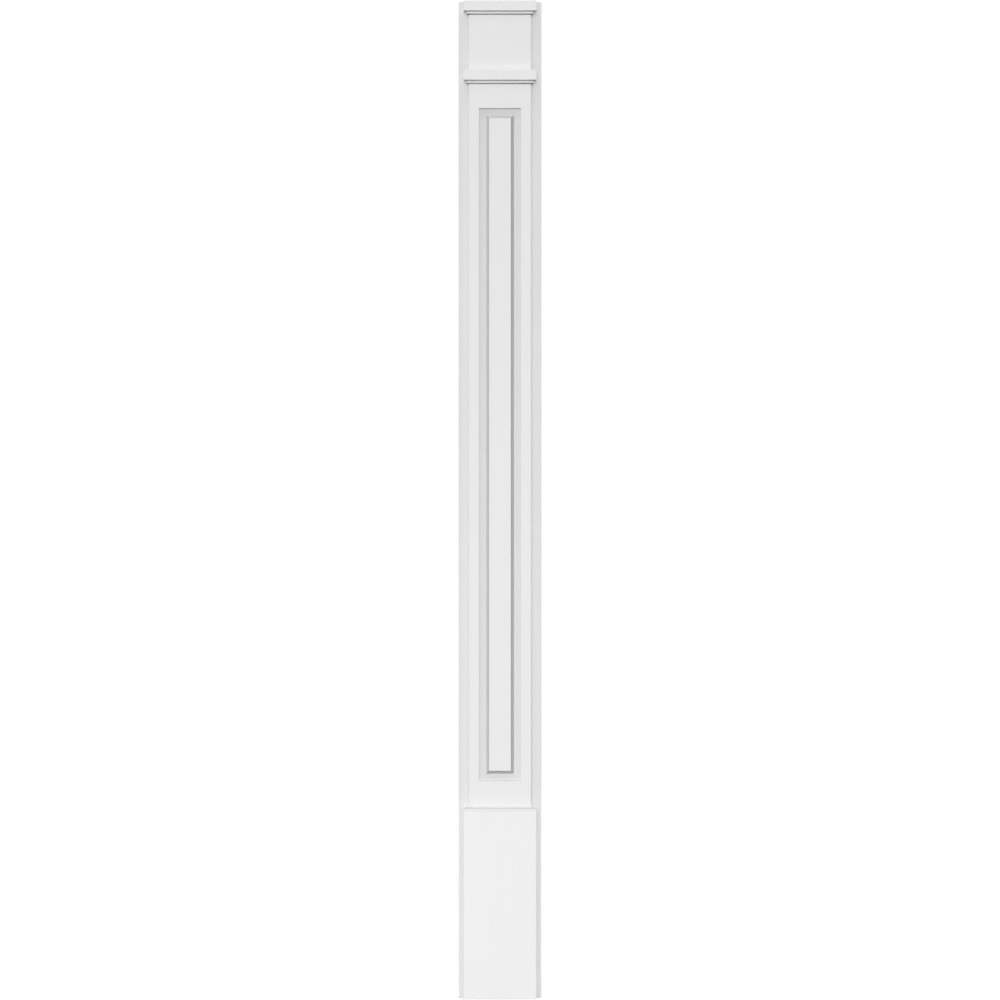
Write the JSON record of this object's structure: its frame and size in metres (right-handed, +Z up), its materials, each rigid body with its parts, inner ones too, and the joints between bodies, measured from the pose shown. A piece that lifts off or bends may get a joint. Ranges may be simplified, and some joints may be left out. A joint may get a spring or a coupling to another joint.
{
  "type": "pilaster",
  "caption": "Flat wall pilaster with a raised-panel shaft, a plain moulded capital, a tall plain plinth and a wider back board.",
  "frame": {"origin": "middle of the back board's rear face, where it lies against the wall", "axes": "+Z up along the shaft, +Y into the wall, +X to the right seen from the front; the front faces -Y"},
  "size_m": [0.1778, 0.0508, 2.1336],
  "materials": {
    "back_board_pvc": "smooth satin-matte white cellular PVC sheet",
    "shaft_pvc": "smooth satin-matte white cellular PVC, routed panel faces slightly duller",
    "moulding_pvc": "smooth satin-matte white extruded cellular PVC moulding, mitred at the corners",
    "plinth_pvc": "smooth satin-matte white cellular PVC sheet, mitred at the corners"
  },
  "bodies": {
    "root": {"back_board": "back_board_pvc", "panelled_shaft": "shaft_pvc", "cap_moulding": "moulding_pvc", "necking_moulding": "moulding_pvc", "plinth": "plinth_pvc"}
  },
  "joints": []
}
